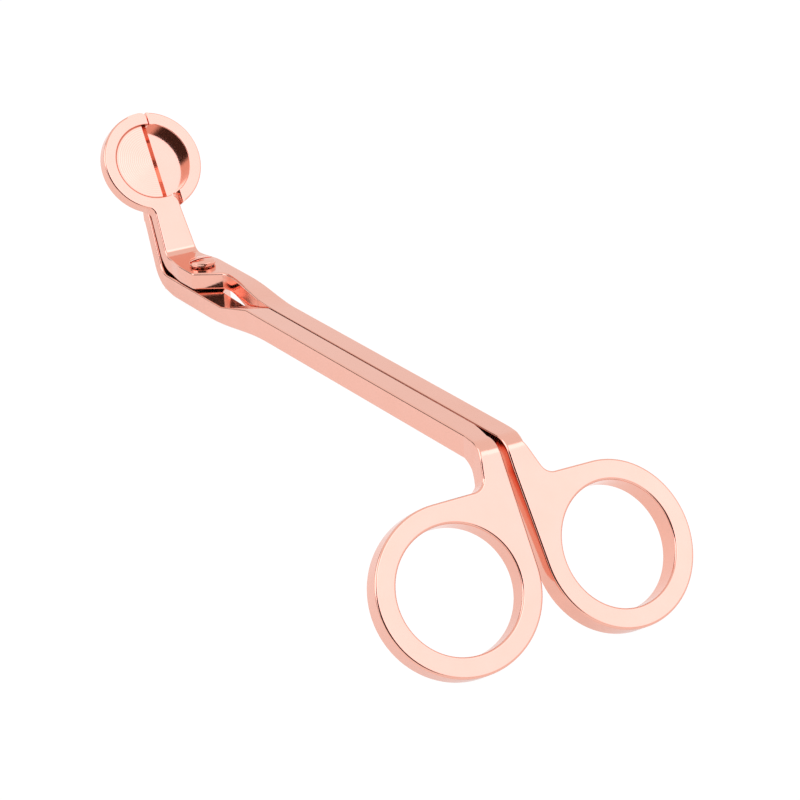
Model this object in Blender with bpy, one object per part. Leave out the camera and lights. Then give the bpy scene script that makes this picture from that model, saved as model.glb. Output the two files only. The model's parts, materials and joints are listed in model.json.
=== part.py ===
"""Wick trimmer: two bent steel levers on one pivot, with a round catch tray at the tip.

Each lever starts as a flat bar and is then folded, as the real one is. In the flat state a point
is (x, u, n): x across the trimmer, u along it from the bow end of the shank towards the head, and
n up out of the bar's top face. Drawing sizes are in millimetres. The finished trimmer lies as it
would on a table, on the rear rims of its finger bows and on the heel of its lower lever.
"""
import math

import bmesh
import bpy
from mathutils import Matrix, Vector

MM = 0.001
GAP = 0.3

# Bars
FOLD = math.radians(59.0)
BAR = 4.6
HALF_WIDTH = 4.5
SEAM = 0.15
ROUND_STEP = math.radians(4.0)

# Finger bows
BOW_HOLE = 11.6
BOW_RADIUS = 15.5
BOW_X = 16.5
BOW_TO_FOLD = 23.1
BOW_FOLD_RADIUS = 4.7
BOW_SPLAY = math.radians(3.8)
BOW_FILLET = 2.5
BOW_FILLET_X = 8.4
TWIST_LENGTH = 8.5
FOLD_REACH = 4.2

# Pivot
PIVOT_U = 121.0
UPPER_TOP = 1.2
UPPER_BOTTOM = -2.4
LOWER_TOP = UPPER_BOTTOM - GAP
STEP_START = 89.8
STEP_END = 102.0
STEP_SKEW = -0.55
LOWER_PLATE = 4.0
LOWER_BOTTOM = LOWER_TOP - LOWER_PLATE
BOSS_HALF_WIDTH = 4.9

# Neck and head
HEAD_DROP = 111.7
NECK_HALF_WIDTH = 3.75
NECK_WAIST = 3.1
LOWER_NECK_LEFT = 4.35
PLATE_THICKNESS = 3.1
UPPER_FOLD_RADIUS = 2.65
LOWER_FOLD_RADIUS = 3.6
NECK_GAP = 0.45
HEAD_FROM_BOWS = 112.7
HEAD_RADIUS = 10.9
TRAY_RADIUS = 8.25
TRAY_DEPTH = 3.05
CUTTER_DEPTH = 0.35
CUTTER_THICKNESS = 1.45
SWING_ROOM = 0.4
GRIND_TOP_X = -0.1
GRIND_EDGE_X = 1.4
RING_SPLIT_X = 1.45
TRAY_EDGE_X = -0.2

# Pivot hardware
SLEEVE_RADIUS = 2.1
SLEEVE_HOLE = SLEEVE_RADIUS + GAP
SCREW_RADIUS = 1.2
SCREW_HEAD_RADIUS = 2.75
SCREW_HEAD_WALL = 0.7
SCREW_HEAD_DOME = 0.55
SCREW_SLOT = 0.8
SCREW_SLOT_FLOOR = 0.45
NUT_FLANGE_RADIUS = 2.9
NUT_FLANGE = 0.7
WASHER_RADIUS = 3.7
WASHER_BORE = 2.6
WASHER_THICKNESS = 0.5
WASHER_SEAT = 0.75

ROSE_GOLD = (0.86, 0.55, 0.45, 1.0)
WASHER_STEEL = (0.62, 0.60, 0.58, 1.0)

TOOLS_REACH = 60.0


# ---------------------------------------------------------------- drawing in the flat

def arc(centre, radius, start, end):
    """Points on a circle from one angle to another, in degrees."""
    sweep = math.radians(end - start)
    steps = max(2, math.ceil(abs(sweep) / ROUND_STEP))
    points = []
    for i in range(steps + 1):
        a = math.radians(start) + sweep * i / steps
        points.append((centre[0] + radius * math.cos(a), centre[1] + radius * math.sin(a)))
    return points


def ease(t):
    """Smooth step from 0 to 1."""
    t = min(max(t, 0.0), 1.0)
    return t * t * (3.0 - 2.0 * t)


def blend(start, end, steps=8):
    """Points on a smooth S from one (x, u) to another, parallel to u at both ends."""
    points = []
    for i in range(steps + 1):
        t = i / steps
        points.append((start[0] + (end[0] - start[0]) * ease(t), start[1] + (end[1] - start[1]) * t))
    return points


def mirror(points):
    """The same outline on the other side of the trimmer, still clockwise."""
    return [(-x, u) for x, u in reversed(points)]


def bow_centre_u():
    """Where the bow's centre lies along the flat bar."""
    start, end = bow_fold()
    return end - (BOW_TO_FOLD - start)


def touch_angle(point, centre, radius, side):
    """Angle round a circle, in degrees, where a straight line from this point touches it."""
    away = Vector(point) - Vector(centre)
    return math.degrees(math.atan2(away.y, away.x) + side * math.acos(radius / away.length))


def bow_outline(arm_side, seam_side):
    """Right bow and its arm, from the arm's outer side round the ring to the seam side."""
    bow = (BOW_X, bow_centre_u())
    fillet = (BOW_FILLET_X, bow[1] + BOW_RADIUS + BOW_FILLET)
    start = touch_angle(arm_side[-1], fillet, BOW_FILLET, 1.0) % 360.0
    outline = arm_side + arc(fillet, BOW_FILLET, start, 270.0)
    end = touch_angle(seam_side[0], bow, BOW_RADIUS, 1.0)
    outline += arc(bow, BOW_RADIUS, 90.0, end - 360.0)
    return outline + seam_side


def head_start(top, radius, drop):
    """Where the head's fold starts along the shank, for a face at this height in the flat."""
    corner = (drop + top * math.cos(FOLD)) / math.sin(FOLD)
    return corner - radius * math.tan(FOLD / 2)


def head_centre(top, radius, drop):
    """Where the head's centre lies along the flat bar."""
    corner = (drop + top * math.cos(FOLD)) / math.sin(FOLD)
    corner_y = BOW_TO_FOLD + corner * math.cos(FOLD) + top * math.sin(FOLD)
    tangent = radius * math.tan(FOLD / 2)
    return corner - tangent + radius * FOLD + HEAD_FROM_BOWS - corner_y - tangent


UPPER_FOLD = (UPPER_TOP, UPPER_FOLD_RADIUS, HEAD_DROP)
LOWER_FOLD = (LOWER_TOP, LOWER_FOLD_RADIUS, HEAD_DROP + PLATE_THICKNESS + NECK_GAP)
UPPER_HEAD = head_centre(*UPPER_FOLD)
LOWER_HEAD = head_centre(*LOWER_FOLD)
LOWER_RING_TOP = LOWER_TOP + PLATE_THICKNESS + NECK_GAP


def blade_outline():
    """Upper lever seen from above, clockwise from the right bow."""
    fold = head_start(*UPPER_FOLD)
    head = UPPER_HEAD
    arm_side = [(HALF_WIDTH, 6.5), (4.45, 4.5), (4.3, 2.6), (4.15, 1.0), (4.1, -0.6)]
    outline = bow_outline(arm_side, [(0.3, bow_centre_u() + 18.0), (SEAM, 6.0)])
    outline += [(SEAM, 96.0), (1.25, 110.5), (1.2, 112.0), (0.85, 113.4)]
    outline += [(-4.0, 116.9), (-4.35, 117.6), (-4.4, 121.0)]
    outline += blend((-4.4, 123.0), (-NECK_HALF_WIDTH, fold))
    fillet = 1.5
    across = NECK_WAIST + fillet
    below = math.sqrt((HEAD_RADIUS + fillet) ** 2 - across ** 2)
    meet = math.degrees(math.atan2(below, across))
    outline += arc((-across, head - below), fillet, 0.0, meet)
    corner = 1.3
    across = RING_SPLIT_X - corner
    above = math.sqrt((HEAD_RADIUS - corner) ** 2 - across ** 2)
    top = math.degrees(math.atan2(above, across))
    outline += arc((0.0, head), HEAD_RADIUS, 180.0 + meet, top)[1:]
    outline += arc((across, head + above), corner, top, 0.0)[1:]
    inner = TRAY_RADIUS - GAP
    outline.append((RING_SPLIT_X, head + math.sqrt(inner ** 2 - RING_SPLIT_X ** 2)))
    edge = math.sqrt(inner ** 2 - GRIND_EDGE_X ** 2)
    outline += [(GRIND_EDGE_X, head + edge), (GRIND_EDGE_X, head - edge)]
    shoulder = 2.0
    outline += arc((NECK_WAIST - shoulder, head - 9.9), shoulder, 58.0, 0.0)
    outline += [(NECK_WAIST, head - 11.5), (NECK_HALF_WIDTH, fold)]
    outline += blend((BOSS_HALF_WIDTH, 122.0), (NECK_HALF_WIDTH, fold))[-2::-1]
    outline += blend((HALF_WIDTH, 86.0), (BOSS_HALF_WIDTH, 104.0))[::-1]
    return outline


def tray_outline():
    """Lower lever's bar seen from above, clockwise from the left bow."""
    fold = head_start(*LOWER_FOLD)
    head = LOWER_HEAD
    arm_side = [(HALF_WIDTH, 6.0), (5.1, 0.0)]
    seam_side = [(1.05, bow_centre_u() + 18.0), (1.05, 3.5), (SEAM, 8.5)]
    outline = mirror(bow_outline(arm_side, seam_side))
    outline.append((-HALF_WIDTH, 88.0))
    outline += blend((-4.4, 123.0), (-LOWER_NECK_LEFT, fold))
    outline += [(-3.1, head - 8.0), (-2.2, head - 4.6), (2.2, head - 4.6), (3.1, head - 8.0)]
    outline += blend((4.3, 123.0), (NECK_HALF_WIDTH, fold))[::-1]
    outline += [(4.3, 117.4), (0.6, 112.7), (0.6, 110.5), (-SEAM, 96.0)]
    return outline


def tray_base_outline():
    """Half of the head on the lower lever: tray floor and right half of the ring."""
    head = LOWER_HEAD
    inner = TRAY_RADIUS - GAP
    split = RING_SPLIT_X + GAP
    stop = NECK_WAIST + 0.8
    floor_start = math.degrees(math.acos(TRAY_EDGE_X / inner))
    split_inner = math.degrees(math.acos(split / inner))
    split_outer = math.degrees(math.acos(split / HEAD_RADIUS))
    stop_inner = math.degrees(math.acos(stop / inner))
    stop_outer = math.degrees(math.acos(stop / HEAD_RADIUS))
    outline = arc((0.0, head), inner, floor_start, split_inner)
    outline += arc((0.0, head), HEAD_RADIUS, split_outer, -stop_outer)
    outline += arc((0.0, head), inner, -stop_inner, -floor_start)
    return outline


def heights(*stations):
    """A bar's top or bottom edge in side view, with a smooth S between one level and the next."""
    points = [(-TOOLS_REACH, stations[0][1])]
    for start, end in zip(stations[::2], stations[1::2]):
        for n, u in blend((start[1], start[0]), (end[1], end[0])):
            points.append((u, n))
    points.append((TOOLS_REACH * 3.0, stations[-1][1]))
    return points


# ---------------------------------------------------------------- solids in the flat

def new_object(name, mesh):
    obj = bpy.data.objects.new(name, mesh)
    bpy.context.collection.objects.link(obj)
    return obj


def prism(outline, low, high, side_view=False, skew=0.0):
    """A straight solid: a plan outline between two heights, or a side view between two x."""
    bm = bmesh.new()
    if side_view:
        ring = [bm.verts.new((low, u + low * skew, n)) for u, n in outline]
        move = Vector((high - low, (high - low) * skew, 0.0))
    else:
        ring = [bm.verts.new((x, u, low)) for x, u in outline]
        move = Vector((0.0, 0.0, high - low))
    face = bm.faces.new(ring)
    grown = bmesh.ops.extrude_face_region(bm, geom=[face])
    top = [v for v in grown["geom"] if isinstance(v, bmesh.types.BMVert)]
    bmesh.ops.translate(bm, verts=top, vec=move)
    bmesh.ops.recalc_face_normals(bm, faces=bm.faces)
    mesh = bpy.data.meshes.new("blank")
    bm.to_mesh(mesh)
    bm.free()
    return new_object("blank", mesh)


def round_blank(x, u, radius, low, high):
    """A round solid standing on the bar."""
    return prism(arc((x, u), radius, 0.0, 360.0)[:-1], low, high)


def combine(base, tool, operation):
    """Joins, cuts or keeps the common part of two solids, and removes the tool."""
    step = base.modifiers.new("step", "BOOLEAN")
    step.solver = "EXACT"
    step.operation = operation
    step.object = tool
    view = bpy.context.evaluated_depsgraph_get()
    view.update()
    result = bpy.data.meshes.new_from_object(base.evaluated_get(view))
    base.modifiers.clear()
    base.data = result
    bpy.data.objects.remove(tool)


def blade_blank():
    """Upper lever in the flat."""
    top = heights((88.0, 0.0), (108.0, UPPER_TOP))
    neck_bottom = UPPER_TOP - PLATE_THICKNESS
    bottom = heights((96.0, -BAR), (110.5, UPPER_BOTTOM),
                     (127.0, UPPER_BOTTOM), (133.0, neck_bottom))
    blank = prism(blade_outline(), -20.0, 20.0)
    combine(blank, prism(top + bottom[::-1], -TOOLS_REACH, TOOLS_REACH, True), "INTERSECT")
    cu = bow_centre_u()
    combine(blank, round_blank(BOW_X, cu, BOW_HOLE, -20.0, 20.0), "DIFFERENCE")
    combine(blank, round_blank(0.0, PIVOT_U, SLEEVE_HOLE, -20.0, 20.0), "DIFFERENCE")
    cutter_top = UPPER_TOP - CUTTER_DEPTH
    cutter_bottom = cutter_top - CUTTER_THICKNESS
    combine(blank, round_blank(0.0, UPPER_HEAD, TRAY_RADIUS, cutter_top, 20.0), "DIFFERENCE")
    recess = round_blank(0.0, UPPER_HEAD, TRAY_RADIUS + SWING_ROOM, -20.0, cutter_bottom)
    combine(blank, recess, "DIFFERENCE")
    run = GRIND_EDGE_X - GRIND_TOP_X
    grind = [(GRIND_TOP_X, cutter_top), (GRIND_EDGE_X, cutter_bottom)]
    grind += [(GRIND_EDGE_X + run, cutter_bottom - CUTTER_THICKNESS), (20.0, 20.0)]
    grind.append((GRIND_TOP_X - run, cutter_top + CUTTER_THICKNESS))
    wheel = across_prism(grind, UPPER_HEAD - TRAY_RADIUS, UPPER_HEAD + TRAY_RADIUS)
    combine(wheel, round_blank(0.0, UPPER_HEAD, TRAY_RADIUS, -3.0, 3.0), "INTERSECT")
    combine(blank, wheel, "DIFFERENCE")
    relief = [(2.4, -9.0), (2.4, neck_bottom - 0.15), (6.0, neck_bottom + 1.1), (6.0, -9.0)]
    combine(blank, across_prism(relief, 133.0, UPPER_HEAD - 8.6), "DIFFERENCE")
    return blank


def across_prism(outline, low, high):
    """A solid drawn across the bar as (x, n), between two places along it."""
    blank = prism([(x, n) for x, n in outline], low, high)
    for vertex in blank.data.vertices:
        x, n, u = vertex.co
        vertex.co = (x, u, n)
    blank.data.flip_normals()
    return blank


def tray_blank():
    """Lower lever in the flat."""
    far = TOOLS_REACH * 3.0
    neck_bottom = LOWER_TOP - PLATE_THICKNESS
    bottom = heights((84.0, -BAR), (110.0, LOWER_BOTTOM),
                     (127.0, LOWER_BOTTOM), (134.0, neck_bottom),
                     (LOWER_HEAD - 11.5, neck_bottom), (LOWER_HEAD - 4.0, LOWER_TOP - 0.9))
    side = [(-TOOLS_REACH, 0.0), (far, 0.0)] + bottom[::-1]
    step = [(STEP_START, 0.0), (STEP_END, LOWER_TOP), (far, LOWER_TOP), (far, 9.0), (STEP_START, 9.0)]
    blank = prism(tray_outline(), -20.0, 20.0)
    combine(blank, prism(side, -TOOLS_REACH, TOOLS_REACH, True), "INTERSECT")
    combine(blank, prism(step, -20.0, 20.0, True, STEP_SKEW), "DIFFERENCE")
    floor = LOWER_RING_TOP - TRAY_DEPTH
    base = prism(tray_base_outline(), LOWER_TOP - 0.7, LOWER_RING_TOP)
    combine(base, round_blank(0.0, LOWER_HEAD, TRAY_RADIUS, floor, 20.0), "DIFFERENCE")
    combine(blank, base, "UNION")
    cu = bow_centre_u()
    combine(blank, round_blank(-BOW_X, cu, BOW_HOLE, -20.0, 20.0), "DIFFERENCE")
    combine(blank, round_blank(0.0, PIVOT_U, SLEEVE_HOLE, -20.0, 20.0), "DIFFERENCE")
    seat = LOWER_TOP - WASHER_SEAT
    combine(blank, round_blank(0.0, PIVOT_U, WASHER_RADIUS + GAP, seat, 0.0), "DIFFERENCE")
    return blank


# ---------------------------------------------------------------- folding

def turn(point, centre, angle):
    """Turns an (s, n) point about a centre; a positive angle lifts the head end."""
    ds = point[0] - centre[0]
    dn = point[1] - centre[1]
    cosine = math.cos(angle)
    sine = math.sin(angle)
    return centre[0] + ds * cosine - dn * sine, centre[1] + ds * sine + dn * cosine


def bow_fold():
    """Where the bow's fold starts and ends along the flat bar, on its top face."""
    tangent = BOW_FOLD_RADIUS * math.tan(FOLD / 2)
    return tangent, tangent - BOW_FOLD_RADIUS * FOLD


def bent_down(u, n):
    """A point of the side view, folded down towards the bow round the fold's centre."""
    start = bow_fold()[0]
    angle = min((start - u) / BOW_FOLD_RADIUS, FOLD)
    if angle <= 0.0:
        return (u, n)
    beyond = start - u - angle * BOW_FOLD_RADIUS
    return turn((start - beyond, n), (start, -BOW_FOLD_RADIUS), angle)


def inner_round(u):
    """The underside of the bow's fold: a wide round from the shank's lower face to the bow's."""
    start, end = bow_fold()
    t = (start + FOLD_REACH - u) / (start - end + 2.0 * FOLD_REACH)
    first = bent_down(start + FOLD_REACH, -BAR)
    corner = (BAR * math.tan(FOLD / 2), -BAR)
    last = bent_down(end - FOLD_REACH, -BAR)
    weights = ((1.0 - t) ** 2, 2.0 * t * (1.0 - t), t ** 2)
    return [weights[0] * first[i] + weights[1] * corner[i] + weights[2] * last[i] for i in range(2)]


def folded(x, u, n, head_fold):
    """Where a point of the flat lever goes in the finished trimmer, in its own frame."""
    top, radius, drop = head_fold
    start = head_start(top, radius, drop)
    bow_start, bow_end = bow_fold()
    s = u
    if u > start:
        angle = min((u - start) / radius, FOLD)
        beyond = u - start - angle * radius
        s, n = turn((start + beyond, n), (start, top + radius), angle)
    elif bow_end - FOLD_REACH < u < bow_start + FOLD_REACH:
        outer = bent_down(u, 0.0)
        inner = inner_round(u)
        s, n = [outer[i] + (inner[i] - outer[i]) * n / -BAR for i in range(2)]
    elif u < bow_start:
        s, n = bent_down(u, n)
    y = BOW_TO_FOLD + s * math.cos(FOLD) + n * math.sin(FOLD)
    z = -s * math.sin(FOLD) + n * math.cos(FOLD)
    if u < bow_start:
        roll = math.copysign(BOW_SPLAY, x) * ease((bow_start - u) / TWIST_LENGTH)
        x, z = x * math.cos(roll) + z * math.sin(roll), z * math.cos(roll) - x * math.sin(roll)
    return Vector((x, y, z))


def shape(blank, head_fold):
    """Slices the flat lever across its two folds, and folds it. Returns its mesh in millimetres."""
    bow_start, bow_end = bow_fold()
    twist_end = bow_start - TWIST_LENGTH
    start = head_start(*head_fold)
    end = start + head_fold[1] * FOLD
    cuts = [bow_start + (bow_end - bow_start) * i / 14 for i in range(15)]
    cuts += [bow_start + FOLD_REACH * i / 6 for i in range(1, 7)]
    cuts += [bow_end - FOLD_REACH * i / 6 for i in range(1, 7)]
    cuts.append(twist_end)
    cuts += [start + (end - start) * i / 14 for i in range(15)]
    bm = bmesh.new()
    bm.from_mesh(blank.data)
    for cut in cuts:
        parts = bm.verts[:] + bm.edges[:] + bm.faces[:]
        bmesh.ops.bisect_plane(bm, geom=parts, dist=1e-4, plane_co=(0.0, cut, 0.0),
                               plane_no=(0.0, 1.0, 0.0))
    for vertex in bm.verts:
        vertex.co = folded(*vertex.co, head_fold)
    bm.to_mesh(blank.data)
    bm.free()
    return blank.data


# ---------------------------------------------------------------- pivot hardware

def lathe(profile):
    """A round solid on the pivot's axis from (radius, n) points, outer side from top to bottom."""
    bm = bmesh.new()
    turns = 64
    rings = []
    for radius, n in profile:
        if radius == 0.0:
            rings.append([bm.verts.new((0.0, PIVOT_U, n))])
            continue
        ring = []
        for i in range(turns):
            a = math.tau * i / turns
            ring.append(bm.verts.new((radius * math.cos(a), PIVOT_U + radius * math.sin(a), n)))
        rings.append(ring)
    pairs = list(zip(rings, rings[1:]))
    if len(rings[0]) > 1:
        pairs.append((rings[-1], rings[0]))
    for upper, lower in pairs:
        for i in range(turns):
            j = (i + 1) % turns
            corners = [upper[i % len(upper)], upper[j % len(upper)]]
            corners += [lower[j % len(lower)], lower[i % len(lower)]]
            bm.faces.new(list(dict.fromkeys(corners)))
    bmesh.ops.recalc_face_normals(bm, faces=bm.faces)
    mesh = bpy.data.meshes.new("turned")
    bm.to_mesh(mesh)
    bm.free()
    return new_object("turned", mesh)


def stand_up(obj):
    """Moves a solid drawn on the shank into the trimmer's own frame, still in millimetres."""
    for vertex in obj.data.vertices:
        x, s, n = vertex.co
        vertex.co = shank_point(x, s, n)
    return obj.data


def shank_point(x, s, n):
    y = BOW_TO_FOLD + s * math.cos(FOLD) + n * math.sin(FOLD)
    z = -s * math.sin(FOLD) + n * math.cos(FOLD)
    return Vector((x, y, z))


def pivot_screw():
    """Domed head with a slot, on a plain shank that reaches down into the sleeve nut."""
    seat = UPPER_TOP + GAP
    wall = seat + SCREW_HEAD_WALL
    profile = [(0.0, wall + SCREW_HEAD_DOME)]
    for i in range(1, 8):
        a = math.pi / 2 * i / 7
        profile.append((SCREW_HEAD_RADIUS * math.sin(a), wall + SCREW_HEAD_DOME * math.cos(a)))
    profile += [(SCREW_HEAD_RADIUS, seat), (SCREW_RADIUS, seat)]
    profile += [(SCREW_RADIUS, LOWER_BOTTOM), (0.0, LOWER_BOTTOM)]
    screw = lathe(profile)
    near = PIVOT_U - SCREW_SLOT / 2
    far = PIVOT_U + SCREW_SLOT / 2
    slot = [(-4.0, near), (4.0, near), (4.0, far), (-4.0, far)]
    combine(screw, prism(slot, seat + SCREW_SLOT_FLOOR, 9.0), "DIFFERENCE")
    return stand_up(screw)


def pivot_nut():
    """Sleeve that both levers turn on, with a low flange under the lower lever."""
    bore = SCREW_RADIUS + GAP
    flange = LOWER_BOTTOM - GAP
    chamfer = 0.2
    profile = [(bore, UPPER_TOP - 0.1), (SLEEVE_RADIUS, UPPER_TOP - 0.1), (SLEEVE_RADIUS, flange)]
    profile += [(NUT_FLANGE_RADIUS, flange), (NUT_FLANGE_RADIUS, flange - NUT_FLANGE + chamfer)]
    profile += [(NUT_FLANGE_RADIUS - chamfer, flange - NUT_FLANGE), (bore, flange - NUT_FLANGE)]
    return stand_up(lathe(profile))


def pivot_washer():
    """Flat washer in the seat of the lower lever."""
    low = LOWER_TOP - WASHER_SEAT + GAP
    high = low + WASHER_THICKNESS
    profile = [(WASHER_BORE, high), (WASHER_RADIUS, high), (WASHER_RADIUS, low), (WASHER_BORE, low)]
    return stand_up(lathe(profile))


# ---------------------------------------------------------------- the finished trimmer

def metal(name, colour, roughness):
    material = bpy.data.materials.new(name)
    material.use_nodes = True
    shader = material.node_tree.nodes["Principled BSDF"]
    shader.inputs["Base Color"].default_value = colour
    shader.inputs["Metallic"].default_value = 1.0
    shader.inputs["Roughness"].default_value = roughness
    return material


def finish(name, mesh, colour, roughness, stand):
    """Puts a piece in the scene with its own metal and its origin on the pivot's axis."""
    pivot = shank_point(0.0, PIVOT_U, 0.0)
    mesh.transform(Matrix.Scale(MM, 4) @ Matrix.Translation(-pivot))
    mesh.name = name
    mesh.materials.clear()
    mesh.materials.append(metal(name + "_metal", colour, roughness))
    mesh.shade_smooth()
    mesh.set_sharp_from_angle(angle=math.radians(25.0))
    piece = new_object(name, mesh)
    piece.location = pivot * MM
    piece.parent = stand
    return piece


def resting_tilt(points):
    """Tilt about X that brings the bows' rear rims and the heel down to one level."""
    low, high = math.radians(30.0), math.radians(65.0)
    for _ in range(40):
        tilt = (low + high) / 2
        level = [(p.y, p.y * math.sin(tilt) + p.z * math.cos(tilt)) for p in points]
        bows = min(z for y, z in level if y < 0.0)
        heel = min(z for y, z in level if y > 0.0)
        if heel < bows:
            low = tilt
        else:
            high = tilt
    return tilt


def lie_down(stand, pieces):
    """Tilts the trimmer onto the table, with the origin under the middle of its box."""
    points = [piece.location + v.co for piece in pieces for v in piece.data.vertices]
    tilt = resting_tilt(points)
    turned = [Matrix.Rotation(tilt, 3, "X") @ p for p in points]
    middle = [(min(p[i] for p in turned) + max(p[i] for p in turned)) / 2 for i in range(2)]
    stand.rotation_euler = (tilt, 0.0, 0.0)
    stand.location = (-middle[0], -middle[1], -min(p.z for p in turned))


def build():
    for obj in list(bpy.data.objects):
        bpy.data.objects.remove(obj, do_unlink=True)
    shapes = [("blade_lever", shape(blade_blank(), UPPER_FOLD), ROSE_GOLD, 0.12)]
    shapes.append(("tray_lever", shape(tray_blank(), LOWER_FOLD), ROSE_GOLD, 0.12))
    shapes.append(("pivot_screw", pivot_screw(), ROSE_GOLD, 0.15))
    shapes.append(("pivot_nut", pivot_nut(), ROSE_GOLD, 0.15))
    shapes.append(("pivot_washer", pivot_washer(), WASHER_STEEL, 0.35))
    for obj in list(bpy.data.objects):
        bpy.data.objects.remove(obj)
    stand = new_object("trimmer", None)
    pieces = [finish(name, mesh, colour, roughness, stand) for name, mesh, colour, roughness in shapes]
    lie_down(stand, pieces)


build()
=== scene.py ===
"""Wick trimmer in polished rose gold plate, lying on a pale table in soft studio light.

Two cranked levers turn on one screw. The lever with the cutting half of the head is on top, and
the lever with the catch tray passes under it. Everything is in metres, in the frame of the CAD.
"""
import json
import math

import bmesh
import bpy
from mathutils import Matrix, Vector


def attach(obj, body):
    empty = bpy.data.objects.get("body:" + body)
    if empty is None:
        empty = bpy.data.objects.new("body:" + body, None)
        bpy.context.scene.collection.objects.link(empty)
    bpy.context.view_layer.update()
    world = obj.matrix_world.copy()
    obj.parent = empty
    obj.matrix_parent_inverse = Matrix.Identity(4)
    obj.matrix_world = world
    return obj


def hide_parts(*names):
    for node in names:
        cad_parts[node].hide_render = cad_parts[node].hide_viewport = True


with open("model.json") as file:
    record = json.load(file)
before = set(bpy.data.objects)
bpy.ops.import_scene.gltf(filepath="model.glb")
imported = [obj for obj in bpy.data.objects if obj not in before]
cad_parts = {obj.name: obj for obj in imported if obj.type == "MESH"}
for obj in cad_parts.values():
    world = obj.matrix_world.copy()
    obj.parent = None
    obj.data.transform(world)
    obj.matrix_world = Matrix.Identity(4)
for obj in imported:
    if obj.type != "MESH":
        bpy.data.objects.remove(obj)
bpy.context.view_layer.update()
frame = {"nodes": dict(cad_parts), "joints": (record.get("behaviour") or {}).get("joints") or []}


# ---------------------------------------------------------------- tray lever
# The lower lever: one flat steel bar, drop forged, folded at the bow and at the neck, with half
# of the tray's rim and the tray's floor at its tip. Every edge was rounded off on a polishing
# wheel before plating, and that small round is what draws the bright and dark lines of each edge.

MM = 0.001
BAR = 4.6
FOLD = math.radians(59.0)
BOW_TO_FOLD = 23.1
BOW_FOLD_RADIUS = 4.7
BOW_SPLAY = math.radians(3.8)
TWIST_LENGTH = 8.5
FOLD_REACH = 4.2
PIVOT_ALONG = 121.0
EDGE_ROUND = 1.0
FOLD_SLICES = 18
HALVINGS = 26
ROLL_STEPS = 8
PIVOT = Vector(frame["joints"][0]["pos_m"])
PIVOT_UP = Vector(frame["joints"][0]["axis"])
TILT = FOLD - math.atan2(PIVOT_UP.y, PIVOT_UP.z)
FOLD_START = BOW_FOLD_RADIUS * math.tan(FOLD / 2)
FOLD_END = FOLD_START - BOW_FOLD_RADIUS * FOLD


def to_drawing(along, height):
    """A place on the shank, in side view, as y and z of the trimmer's own drawing."""
    y = BOW_TO_FOLD + along * math.cos(FOLD) + height * math.sin(FOLD)
    return y, -along * math.sin(FOLD) + height * math.cos(FOLD)


pivot_y, pivot_z = to_drawing(PIVOT_ALONG, 0.0)
DRAWING = Matrix.Rotation(TILT, 4, "X") @ Matrix.Scale(MM, 4)
DRAWING = Matrix.Translation(PIVOT - DRAWING @ Vector((0.0, pivot_y, pivot_z))) @ DRAWING


def roll_at(x, along):
    """How far the bows splay outwards, beyond the fold."""
    t = min(max((FOLD_START - along) / TWIST_LENGTH, 0.0), 1.0)
    return math.copysign(BOW_SPLAY, x) * t * t * (3.0 - 2.0 * t)


def neck_fold(top, radius, drop):
    """Where the neck's fold starts along the bar, and its height, radius."""
    corner = (drop + top * math.cos(FOLD)) / math.sin(FOLD)
    return corner - radius * math.tan(FOLD / 2), top, radius


def turned(point, centre, angle):
    """A point of the side view, turned about a centre."""
    away = Vector(point) - Vector(centre)
    cosine = math.cos(angle)
    sine = math.sin(angle)
    return Vector((centre[0] + away.x * cosine - away.y * sine,
                   centre[1] + away.x * sine + away.y * cosine))


def bent_down(along, height):
    """A point of the side view, folded down towards the bow."""
    if along >= FOLD_START:
        return Vector((along, height))
    angle = min((FOLD_START - along) / BOW_FOLD_RADIUS, FOLD)
    return turned((along + angle * BOW_FOLD_RADIUS, height), (FOLD_START, -BOW_FOLD_RADIUS), angle)


def inner_round(along):
    """The underside of the bow's fold, one wide round from flat to flat."""
    t = (FOLD_START + FOLD_REACH - along) / (FOLD_START - FOLD_END + 2.0 * FOLD_REACH)
    corner = Vector((BAR * math.tan(FOLD / 2), -BAR))
    first = bent_down(FOLD_START + FOLD_REACH, -BAR)
    last = bent_down(FOLD_END - FOLD_REACH, -BAR)
    return (1.0 - t) ** 2 * first + 2.0 * t * (1.0 - t) * corner + t * t * last


def in_bow_fold(along):
    """Whether a station along the bar is in the bow's fold or the round under it."""
    return FOLD_END - FOLD_REACH < along < FOLD_START + FOLD_REACH


def folded(x, along, height, neck):
    """A point of the flat bar, in millimetres, where it is in the finished lever."""
    start, top, radius = neck
    place = Vector((along, height))
    if along > start:
        angle = min((along - start) / radius, FOLD)
        place = turned((along - angle * radius, height), (start, top + radius), angle)
    elif in_bow_fold(along):
        place = bent_down(along, 0.0).lerp(inner_round(along), height / -BAR)
    elif along < FOLD_START:
        place = bent_down(along, height)
    y, z = to_drawing(*place)
    if along < FOLD_START:
        roll = roll_at(x, along)
        x, z = x * math.cos(roll) + z * math.sin(roll), z * math.cos(roll) - x * math.sin(roll)
    return DRAWING @ Vector((x, y, z))


def flattened(side, neck):
    """The inverse of a lever's folds in side view."""
    start, top, radius = neck
    along, height = side
    if along > start:
        angle = min(math.atan2(along - start, top + radius - height), FOLD)
        flat = turned(side, (start, top + radius), -angle)
        return flat.x + angle * radius, flat.y
    if along > FOLD_START + FOLD_REACH:
        return along, height
    low, high = FOLD_END - FOLD_REACH, FOLD_START + FOLD_REACH
    for _ in range(HALVINGS):
        middle = (low + high) / 2
        outer = bent_down(middle, 0.0)
        if (inner_round(middle) - outer).cross(side - outer) > 0.0:
            low = middle
        else:
            high = middle
    if low > FOLD_END - FOLD_REACH:
        outer = bent_down(low, 0.0)
        through = inner_round(low) - outer
        return low, -BAR * (side - outer).dot(through) / through.length_squared
    flat = turned(side, (FOLD_START, -BOW_FOLD_RADIUS), -FOLD)
    return flat.x - FOLD * BOW_FOLD_RADIUS, flat.y


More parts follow.
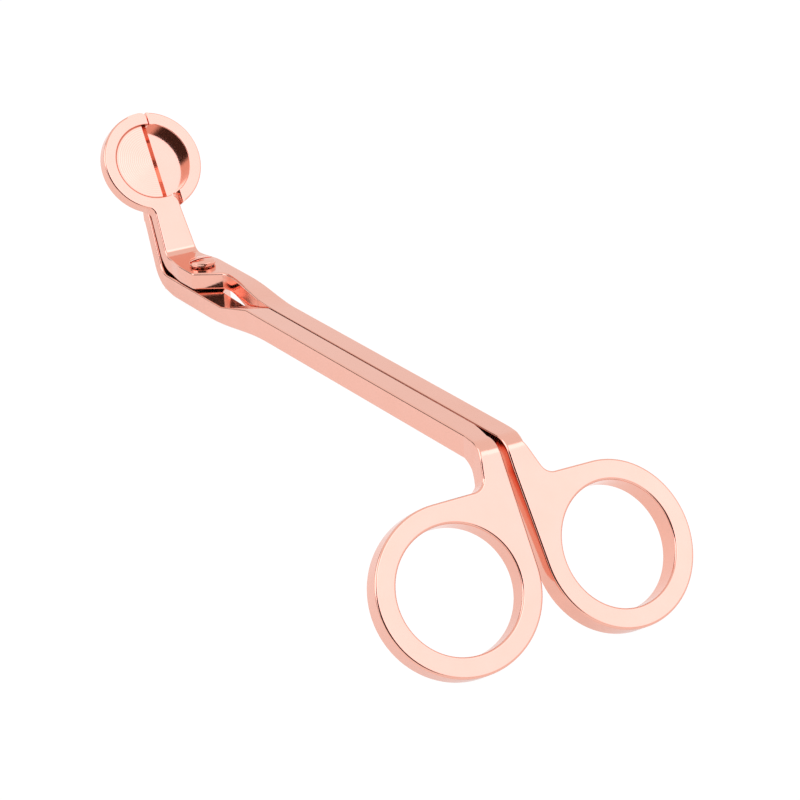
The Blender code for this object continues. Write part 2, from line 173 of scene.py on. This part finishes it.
def unfolded(point, neck):
    """A point of the finished lever, in metres, where it was in the flat bar, in millimetres."""
    x, y, z = DRAWING.inverted() @ point
    roll = 0.0
    for _ in range(ROLL_STEPS):
        level = z * math.cos(roll) + x * math.sin(roll)
        across = x * math.cos(roll) - z * math.sin(roll)
        side = Vector(((y - BOW_TO_FOLD) * math.cos(FOLD) - level * math.sin(FOLD),
                       (y - BOW_TO_FOLD) * math.sin(FOLD) + level * math.cos(FOLD)))
        along, height = flattened(side, neck)
        if along >= FOLD_START:
            break
        roll = roll_at(x, along)
    return Vector((across, along, height))


# How nearly two faces must face the same way, as a cosine, to shade as one.
FLAT_ALIKE = 0.82
ROUND_ALIKE = 0.6


def set_normals(mesh, rounds):
    """Keeps flats flat and lets only the rounded edges turn the light. rounds are the faces of the
    rounded edges."""
    shape = bmesh.new()
    shape.from_mesh(mesh)
    shape.faces.ensure_lookup_table()
    normals = []
    for face in shape.faces:
        for vertex in face.verts:
            near = [f for f in vertex.link_faces if f.index not in rounds]
            alike = ROUND_ALIKE if face.index in rounds else FLAT_ALIKE
            near = [f for f in near if f.normal.dot(face.normal) > alike] or [face]
            if near == [face] and face.index in rounds:
                near = [f for f in vertex.link_faces if f.index in rounds]
            total = Vector((0.0, 0.0, 0.0))
            for f in near:
                total += f.normal * f.calc_area()
            normals.append(total.normalized())
    shape.free()
    mesh.shade_smooth()
    mesh.normals_split_custom_set(normals)


CAD_WELD = 2e-6
FLAT_WELD = 2e-3
FLAT_ANGLE = math.radians(0.5)
SHARP_ANGLE = math.radians(32.0)


def polished_copy(node, name, share, neck=None):
    """A CAD node's shape with its outer edges rounded. A lever is unfolded to the flat bar, rounded
    there and folded again, so that the round runs evenly through its folds. share(middle, edge)
    says how much of the full round an edge gets, by the middle of the edge."""
    shape = bmesh.new()
    shape.from_mesh(frame["nodes"][node].data)
    bmesh.ops.remove_doubles(shape, verts=shape.verts, dist=CAD_WELD)
    for vertex in shape.verts:
        vertex.co = unfolded(vertex.co, neck) if neck else DRAWING.inverted() @ vertex.co
    bmesh.ops.remove_doubles(shape, verts=shape.verts, dist=FLAT_WELD)
    bmesh.ops.dissolve_limit(shape, angle_limit=FLAT_ANGLE, verts=shape.verts, edges=shape.edges)
    bmesh.ops.triangulate(shape, faces=[face for face in shape.faces if len(face.verts) > 4])
    bmesh.ops.recalc_face_normals(shape, faces=shape.faces)
    weight = shape.edges.layers.float.new("bevel_weight_edge")
    for edge in shape.edges:
        if len(edge.link_faces) == 2 and edge.calc_face_angle_signed() > SHARP_ANGLE:
            edge[weight] = share((edge.verts[0].co + edge.verts[1].co) / 2, edge)
    mesh = bpy.data.meshes.new(name)
    shape.to_mesh(mesh)
    piece = bpy.data.objects.new(name, mesh)
    bpy.context.collection.objects.link(piece)
    for slot in range(2):
        mesh.materials.append(None)
    rounding = piece.modifiers.new("rounded edges", "BEVEL")
    rounding.width = EDGE_ROUND
    rounding.segments = 4
    rounding.limit_method = "WEIGHT"
    rounding.use_clamp_overlap = False
    rounding.loop_slide = False
    rounding.miter_outer = "MITER_ARC"
    rounding.material = 1
    view = bpy.context.evaluated_depsgraph_get()
    view.update()
    rounded = bpy.data.meshes.new_from_object(piece.evaluated_get(view))
    piece.modifiers.clear()
    shape.clear()
    shape.from_mesh(rounded)
    bmesh.ops.triangulate(shape, faces=[face for face in shape.faces if len(face.verts) > 4])
    if neck:
        above = (FOLD_START, FOLD_START + FOLD_REACH)
        below = (FOLD_END - FOLD_REACH, FOLD_END)
        head = (neck[0], neck[0] + neck[2] * FOLD)
        for low, high in ((FOLD_END, FOLD_START), above, below, head):
            for i in range(FOLD_SLICES + 1):
                cut = low + (high - low) * i / FOLD_SLICES
                parts = shape.verts[:] + shape.edges[:] + shape.faces[:]
                bmesh.ops.bisect_plane(shape, geom=parts, dist=1e-4, plane_co=(0.0, cut, 0.0),
                                       plane_no=(0.0, 1.0, 0.0))
    bmesh.ops.triangulate(shape, faces=[face for face in shape.faces if len(face.verts) > 4])
    for vertex in shape.verts:
        vertex.co = folded(*vertex.co, neck) if neck else DRAWING @ vertex.co
    shape.faces.index_update()
    rounds = {face.index for face in shape.faces if face.material_index == 1}
    shape.to_mesh(rounded)
    shape.free()
    for face in rounded.polygons:
        face.material_index = 0
    rounded.materials.clear()
    set_normals(rounded, rounds)
    piece.data = rounded
    rounded.name = name
    return piece


LOWER_NECK = neck_fold(-2.7, 3.6, 115.25)
TRAY_AT = 155.966
# The half rings end near the middle line. Their short edges there stay sharp.
RING_END = 2.6
NECK_END = 4.3
RING_REACH = 12.5
PLATE_HOLE = 4.3
RIM_INSIDE = 8.4
NECK_LENGTH = 8.0
SEAM = 0.3
SEAM_FROM = 5.0
FULL_SHARE = 0.45
SEAM_SHARE = 0.2
HOLE_SHARE = 0.15


def tray_share(middle, edge):
    """How much of the full round an edge of the tray lever gets."""
    if math.hypot(middle.x, middle.y - PIVOT_ALONG) < PLATE_HOLE:
        return HOLE_SHARE
    end = RING_END if middle.y > TRAY_AT else NECK_END
    if abs(middle.x) < end and 7.9 < math.hypot(middle.x, middle.y - TRAY_AT) < RING_REACH:
        return 0.0
    if math.hypot(middle.x, middle.y - TRAY_AT) < RIM_INSIDE:
        return 0.2
    if middle.y > LOWER_NECK[0] + LOWER_NECK[2] * FOLD + NECK_LENGTH:
        return 0.35
    if abs(middle.x) < SEAM and middle.y > SEAM_FROM:
        return SEAM_SHARE
    return FULL_SHARE


tray_lever = polished_copy("tray_lever", "tray_lever_polished", tray_share, LOWER_NECK)
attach(tray_lever, "tray_side")
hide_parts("tray_lever")


def linear(code):
    """A colour written as sRGB hex, as the shader wants it."""
    parts = [int(code[i:i + 2], 16) / 255.0 for i in (0, 2, 4)]
    return [p / 12.92 if p <= 0.04045 else ((p + 0.055) / 1.055) ** 2.4 for p in parts] + [1.0]


def new_material(name):
    """An empty material, its nodes and its finished surface socket."""
    material = bpy.data.materials.new(name)
    material.use_nodes = True
    material.node_tree.nodes.clear()
    output = material.node_tree.nodes.new("ShaderNodeOutputMaterial")
    return material, material.node_tree, output


def add(tree, kind, settings=(), values=(), links=()):
    """Adds one node with its settings, its fixed inputs and its links from other nodes."""
    node = tree.nodes.new(kind)
    for name, value in dict(settings).items():
        setattr(node, name, value)
    for key, value in dict(values).items():
        node.inputs[key].default_value = value
    for key, socket in dict(links).items():
        tree.links.new(socket, node.inputs[key])
    return node


def rose_gold(name, lathe_rings_and_recess_shade=False):
    """Rose gold plate over polished steel, pink and mirror-like, with the wheel's faint marks. The
    cutting half also keeps the lathe's rings, and a dark line of painted shade round its recess,
    where the recess wall's shade falls."""
    material, tree, output = new_material(name)
    place = add(tree, "ShaderNodeTexCoord")
    millimetres = add(tree, "ShaderNodeVectorMath", {"operation": "SCALE"}, {"Scale": 1000.0},
                      {0: place.outputs["Object"]})
    # The wheel leaves a slow waviness some 7 mm long and hair marks of about 0.4 mm.
    wave = add(tree, "ShaderNodeTexNoise", {}, {"Scale": 0.14, "Detail": 1.0},
               {"Vector": millimetres.outputs[0]})
    hair = add(tree, "ShaderNodeTexNoise", {}, {"Scale": 2.4, "Detail": 3.0, "Roughness": 0.6},
               {"Vector": millimetres.outputs[0]})
    rough = add(tree, "ShaderNodeMapRange", {}, {"To Min": 0.07, "To Max": 0.15},
                {"Value": hair.outputs["Fac"]})
    # The plate is a little redder where it is thicker, in clouds some 5 mm across.
    cloud = add(tree, "ShaderNodeTexNoise", {}, {"Scale": 0.2, "Detail": 2.0},
                {"Vector": millimetres.outputs[0]})
    colour = add(tree, "ShaderNodeMix", {"data_type": "RGBA"},
                 {6: linear("F8BCAA"), 7: linear("F6B7A3")}, {0: cloud.outputs["Fac"]})
    tint = colour.outputs[2]
    bump = add(tree, "ShaderNodeBump", {}, {"Strength": 0.2, "Distance": 0.00002},
               {"Height": hair.outputs["Fac"]})
    slow = add(tree, "ShaderNodeBump", {}, {"Strength": 0.3, "Distance": 0.00006},
               {"Height": wave.outputs["Fac"], "Normal": bump.outputs["Normal"]})
    surface = slow.outputs["Normal"]
    if lathe_rings_and_recess_shade:
        from_axis = add(tree, "ShaderNodeVectorMath", {"operation": "SUBTRACT"}, {1: HEAD_CENTRE},
                        {0: millimetres.outputs[0]})
        across = add(tree, "ShaderNodeVectorMath", {"operation": "CROSS_PRODUCT"}, {1: HEAD_UP},
                     {0: from_axis.outputs[0]})
        radius = add(tree, "ShaderNodeVectorMath", {"operation": "LENGTH"}, {}, {0: across.outputs[0]})
        # Rings 0.45 mm apart: the tool's real feed is finer, and would not show.
        turns = add(tree, "ShaderNodeMath", {"operation": "MULTIPLY"}, {1: math.tau / 0.45},
                    {0: radius.outputs["Value"]})
        ring = add(tree, "ShaderNodeMath", {"operation": "SINE"}, {}, {0: turns.outputs[0]})
        inside = add(tree, "ShaderNodeMapRange", {}, {"From Min": 7.9, "From Max": 7.7},
                     {"Value": radius.outputs["Value"]})
        deep = add(tree, "ShaderNodeMath", {"operation": "MULTIPLY"}, {},
                   {0: ring.outputs[0], 1: inside.outputs["Result"]})
        lathe = add(tree, "ShaderNodeBump", {}, {"Strength": 0.6, "Distance": 0.00001},
                    {"Height": deep.outputs[0], "Normal": surface})
        surface = lathe.outputs["Normal"]
        # Painted shade: a dark orange-brown line in the colour at the recess wall's radius, standing
        # in for the wall's shade.
        off_line = add(tree, "ShaderNodeMath", {"operation": "SUBTRACT"}, {1: RECESS_SHADE_RADIUS},
                       {0: radius.outputs["Value"]})
        distance = add(tree, "ShaderNodeMath", {"operation": "ABSOLUTE"}, {}, {0: off_line.outputs[0]})
        painted_recess_shade = add(tree, "ShaderNodeMapRange", {}, {"From Min": 0.28, "From Max": 0.12},
                   {"Value": distance.outputs[0]})
        recess_shaded_tint = add(tree, "ShaderNodeMix", {"data_type": "RGBA"}, {7: linear("B96A52")},
                    {0: painted_recess_shade.outputs["Result"], 6: tint})
        tint = recess_shaded_tint.outputs[2]
    metal = add(tree, "ShaderNodeBsdfPrincipled", {}, {"Metallic": 1.0},
                {"Base Color": tint, "Roughness": rough.outputs["Result"], "Normal": surface})
    tree.links.new(metal.outputs["BSDF"], output.inputs["Surface"])
    return material


plate = rose_gold("polished rose gold plate")
tray_lever.data.materials.append(plate)


# ---------------------------------------------------------------- blade lever
# The upper lever: the same bar, with the other half of the rim and a thin half disc ground to a
# slanting edge. The edge closes over the tray's mouth and shears the wick.

UPPER_NECK = neck_fold(1.2, 2.65, 111.7)
CUTTER_AT = 151.848
HEAD_CENTRE = DRAWING @ Vector((0.0, 112.7, -111.7)) / MM
HEAD_UP = (DRAWING.to_3x3() @ Vector((0.0, 0.0, 1.0))).normalized()
# Radius in mm of the painted shade line round the recess.
RECESS_SHADE_RADIUS = 8.15
CUTTER_REACH = 7.9
RECESS_REACH = 8.8
STEP_FROM = 112.5
STEP_TO = 118.5


def blade_share(middle, edge):
    """How much of the full round an edge of the blade lever gets. The ground edge stays sharp, and
    the upright corners of the step by the pivot are rounded most."""
    from_cutter = math.hypot(middle.x, middle.y - CUTTER_AT)
    if math.hypot(middle.x, middle.y - PIVOT_ALONG) < 3.0:
        return HOLE_SHARE
    if from_cutter < CUTTER_REACH:
        return 0.0
    if abs(middle.x) < RING_END and from_cutter < RING_REACH:
        return 0.0
    if from_cutter < RECESS_REACH:
        return 0.12
    upright = abs(edge.verts[0].co.z - edge.verts[1].co.z) > 1.0
    if STEP_FROM < middle.y < STEP_TO and upright:
        return 1.0
    if abs(middle.x) < SEAM and middle.y > SEAM_FROM:
        return SEAM_SHARE
    return FULL_SHARE


blade_lever = polished_copy("blade_lever", "blade_lever_polished", blade_share, UPPER_NECK)
blade_lever.data.materials.append(rose_gold("polished rose gold plate, turned recess with painted shade", True))
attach(blade_lever, "blade_side")
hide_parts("blade_lever")


# ---------------------------------------------------------------- pivot
# A slotted dome-head screw and the sleeve nut it is driven into, turned from steel and plated.
# Both levers turn on the sleeve, with a thin steel washer between them.

def small_round(middle, edge):
    """Turned pieces get only a touch of rounding."""
    return HOLE_SHARE


screw = polished_copy("pivot_screw", "pivot_screw_polished", small_round)
nut = polished_copy("pivot_nut", "pivot_nut_polished", small_round)
washer = polished_copy("pivot_washer", "pivot_washer_ground", small_round)

# Bright spring steel, ground on both faces: grey, with straight grinding marks about 0.1 mm apart,
# drawn 0.3 mm apart.
ground, tree, output = new_material("ground spring steel")
place = add(tree, "ShaderNodeTexCoord")
marks = add(tree, "ShaderNodeTexNoise", {}, {"Scale": 3300.0, "Detail": 2.0},
            {"Vector": place.outputs["Object"]})
rough = add(tree, "ShaderNodeMapRange", {}, {"To Min": 0.25, "To Max": 0.42},
            {"Value": marks.outputs["Fac"]})
bump = add(tree, "ShaderNodeBump", {}, {"Strength": 0.3, "Distance": 0.00002},
           {"Height": marks.outputs["Fac"]})
metal = add(tree, "ShaderNodeBsdfPrincipled", {}, {"Base Color": linear("C4C2BE"), "Metallic": 1.0},
            {"Roughness": rough.outputs["Result"], "Normal": bump.outputs["Normal"]})
tree.links.new(metal.outputs["BSDF"], output.inputs["Surface"])

for piece, node, slot, finish in ((screw, "pivot_screw", "pivot_plate", plate),
                                  (nut, "pivot_nut", "pivot_plate", plate),
                                  (washer, "pivot_washer", "washer_steel", ground)):
    piece.data.materials.append(finish)
    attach(piece, "tray_side")
    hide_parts(node)


# ---------------------------------------------------------------- table
# A white acrylic table with a seamless white sweep, lit from below. It shows as plain white to the
# camera, and the metal mirrors it a little darker.

bpy.ops.mesh.primitive_plane_add(size=6.0, location=(0.0, 0.0, 0.0))
table = bpy.context.object
table.name = "table"
white, tree, output = new_material("white table")
paint = add(tree, "ShaderNodeBsdfDiffuse", {}, {"Color": linear("F4F4F4")})
glow = add(tree, "ShaderNodeEmission", {}, {"Color": linear("FFFFFF"), "Strength": 1.05})
path = add(tree, "ShaderNodeLightPath")
share = add(tree, "ShaderNodeMath", {"operation": "MULTIPLY_ADD"}, {1: 0.33, 2: 0.6},
            {0: path.outputs["Is Camera Ray"]})
look = add(tree, "ShaderNodeMixShader", {}, {}, {"Fac": share.outputs[0], 1: paint.outputs[0],
                                                2: glow.outputs[0]})
tree.links.new(look.outputs[0], output.inputs["Surface"])
table.data.materials.append(white)


# ---------------------------------------------------------------- light
# A light tent: white all round, with lamps and with black cards that give the edges their dark
# lines. Each patch has its direction, the angles in degrees where it starts to fade and ends, its
# strength and its tint.

world = bpy.data.worlds.new("light tent")
bpy.context.scene.world = world
world.use_nodes = True
tree = world.node_tree
tree.nodes.clear()
output = tree.nodes.new("ShaderNodeOutputWorld")
place = add(tree, "ShaderNodeTexCoord")
level = add(tree, "ShaderNodeRGB")
level.outputs[0].default_value = (0.91, 0.91, 0.91, 1.0)
light = level.outputs[0]
LAMP = (1.0, 1.0, 1.1)
CARD = (1.0, 0.9, 0.85)
PATCHES = (
    ((0.442, -0.45, 0.775), 17.0, 23.0, 1.85, LAMP),
    ((0.442, -0.60, 0.665), 8.0, 18.0, 1.5, LAMP),
    ((0.05, -0.60, 0.80), 8.0, 16.0, 2.1, LAMP),
    ((-0.85, 0.12, 0.50), 22.0, 28.0, 2.0, LAMP),
    ((-0.38, -0.80, 0.46), 22.0, 31.0, 0.05, CARD),
    ((-0.48, -0.60, 0.64), 10.0, 19.0, 0.05, CARD),
    ((-0.80, -0.45, 0.38), 14.0, 20.0, 0.04, CARD),
    ((-0.98, 0.14, 0.04), 10.0, 16.0, 0.04, CARD),
    ((-0.50, 0.86, 0.06), 8.0, 15.0, 0.04, CARD),
)
for direction, inner, outer, strength, tint in PATCHES:
    towards = Vector(direction).normalized()
    facing = add(tree, "ShaderNodeVectorMath", {"operation": "DOT_PRODUCT"}, {1: towards},
                 {0: place.outputs["Generated"]})
    edge = add(tree, "ShaderNodeMapRange", {"interpolation_type": "SMOOTHSTEP"},
               {"From Min": math.cos(math.radians(outer)), "From Max": math.cos(math.radians(inner))},
               {"Value": facing.outputs["Value"]})
    shade = [strength * part for part in tint] + [1.0]
    mixed = add(tree, "ShaderNodeMix", {"data_type": "RGBA"}, {7: shade},
                {0: edge.outputs["Result"], 6: light})
    light = mixed.outputs[2]
sky = add(tree, "ShaderNodeBackground", {}, {"Strength": 1.0}, {"Color": light})
tree.links.new(sky.outputs[0], output.inputs["Surface"])


# ---------------------------------------------------------------- camera
# A long lens on the side of the tray lever's bow, looking down at about 31 degrees.

camera = bpy.data.objects.new("camera", bpy.data.cameras.new("camera"))
bpy.context.collection.objects.link(camera)
camera.location = (-0.23666, -0.42289, 0.29510)
camera.rotation_euler = (math.radians(59.197), math.radians(-2.373), math.radians(-29.538))
camera.data.lens = 129.33
camera.data.clip_start = 0.01
bpy.context.scene.camera = camera
bpy.context.scene.view_settings.view_transform = "Standard"
